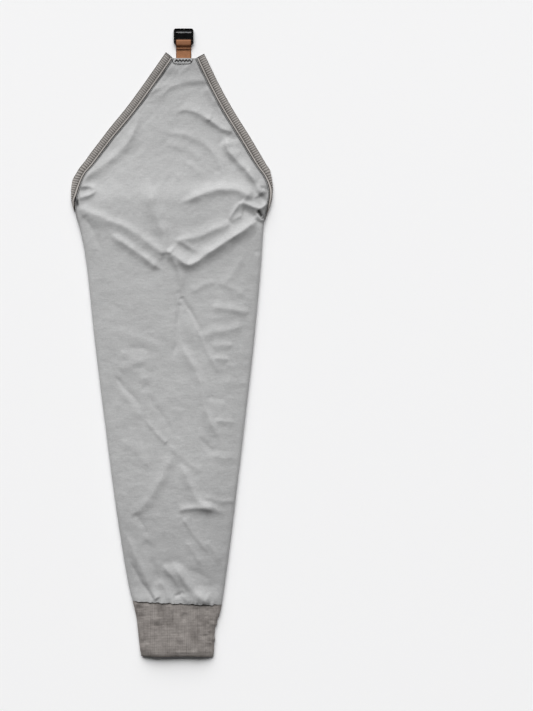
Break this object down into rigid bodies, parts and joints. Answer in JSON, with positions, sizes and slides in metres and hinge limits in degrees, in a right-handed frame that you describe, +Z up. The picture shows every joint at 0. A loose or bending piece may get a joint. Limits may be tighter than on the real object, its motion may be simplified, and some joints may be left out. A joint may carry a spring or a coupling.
{
  "type": "arm chap",
  "caption": "Loose shoulder-to-wrist protective sleeve of thin cloth, laid flat, with an elastic armhole edge, a knitted wrist cuff and a strap slide that clips it to a garment.",
  "frame": {"origin": "on the surface the chap lies on, below the middle of its outermost ends", "axes": "+Y runs from the wrist towards the shoulder cap's point and the slide, +X to the right seen from above, +Z up off the surface"},
  "size_m": [0.2456, 0.7661, 0.0166],
  "materials": {
    "cloth": "thin smooth woven cloth with a faint sheen",
    "elastic": "ribbed woven elastic",
    "knit": "fine rib knit",
    "webbing": "close flat webbing",
    "slide": "smooth and glossy"
  },
  "bodies": {
    "root": {"sleeve": "cloth", "armhole_band": "elastic", "cuff": "knit", "strap": "webbing", "slide_buckle": "slide"}
  },
  "joints": []
}
